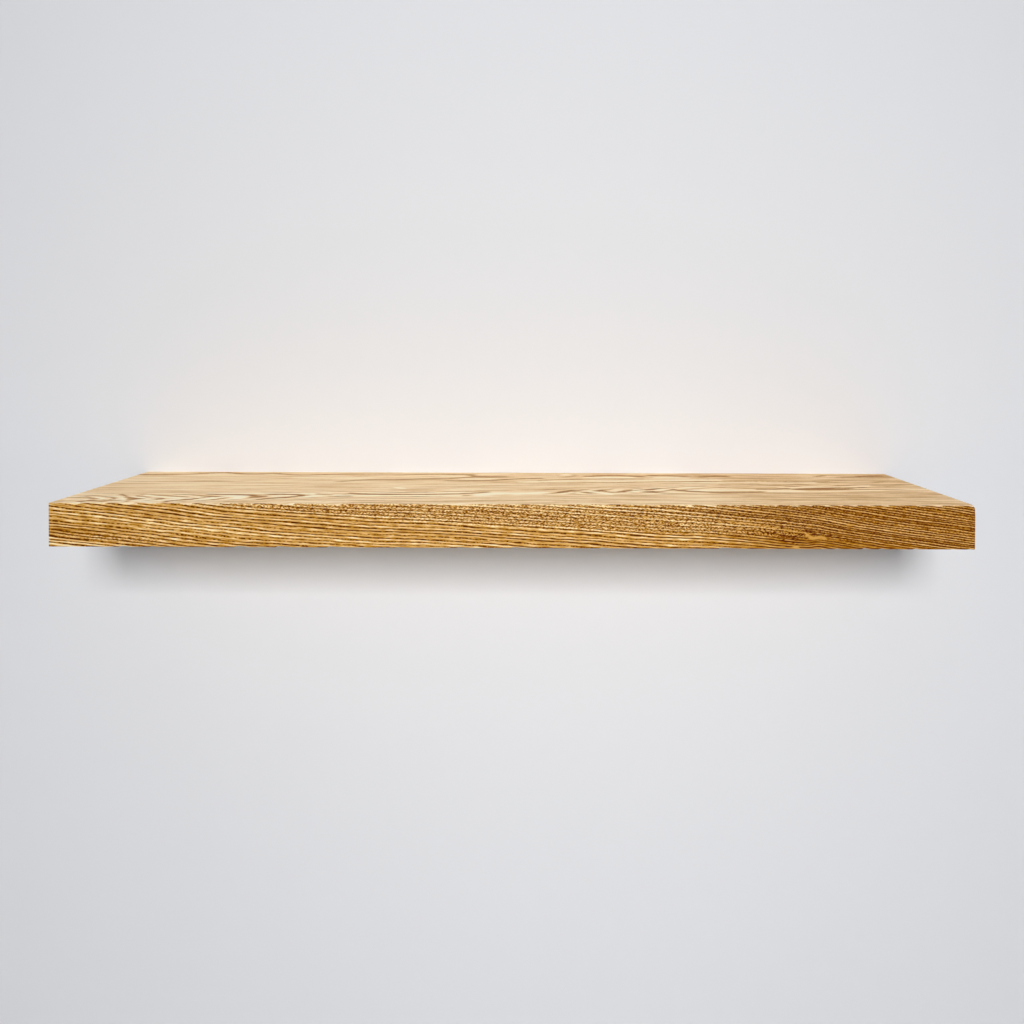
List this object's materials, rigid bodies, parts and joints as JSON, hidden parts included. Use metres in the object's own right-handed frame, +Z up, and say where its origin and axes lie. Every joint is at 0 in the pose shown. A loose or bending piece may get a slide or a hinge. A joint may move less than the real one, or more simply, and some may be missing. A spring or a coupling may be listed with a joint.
{
  "type": "floating wall shelf",
  "caption": "Thick solid hardwood wall shelf carried on a hidden steel bracket: a flat wall bar with rods that slide into bores in the board's back.",
  "frame": {"origin": "middle of the wall bar's back face, on the wall plane at mid-thickness of the board", "axes": "+X along the shelf's length, +Y into the wall, +Z up; the front edge faces -Y"},
  "size_m": [0.8, 0.235, 0.038],
  "materials": {
    "hardwood": "satin clear lacquer on ring-porous hardwood",
    "bar_steel": "satin black powder coat",
    "rod_steel": "bright zinc plate",
    "weld_steel": "satin black powder coat over weld bead",
    "insert_brass": "plain turned brass",
    "screw_steel": "black oxide"
  },
  "bodies": {
    "bracket": {"wall_bar": "bar_steel", "rod_welds": "weld_steel", "support_rod_1": "rod_steel", "support_rod_2": "rod_steel", "support_rod_3": "rod_steel", "support_rod_4": "rod_steel"},
    "shelf": {"shelf_board": "hardwood", "left_threaded_insert": "insert_brass", "right_threaded_insert": "insert_brass"},
    "left_screw": {"left_lock_screw": "screw_steel"},
    "right_screw": {"right_lock_screw": "screw_steel"}
  },
  "joints": [
    {"name": "shelf_slide", "type": "slide", "parent": "bracket", "child": "shelf", "axis": [0, -1, 0], "range_m": [0, 0.16]},
    {"name": "left_lock", "type": "slide", "parent": "shelf", "child": "left_screw", "axis": [0, 0, -1], "range_m": [0, 0.0025]},
    {"name": "right_lock", "type": "slide", "parent": "shelf", "child": "right_screw", "axis": [0, 0, -1], "range_m": [0, 0.0025]}
  ]
}
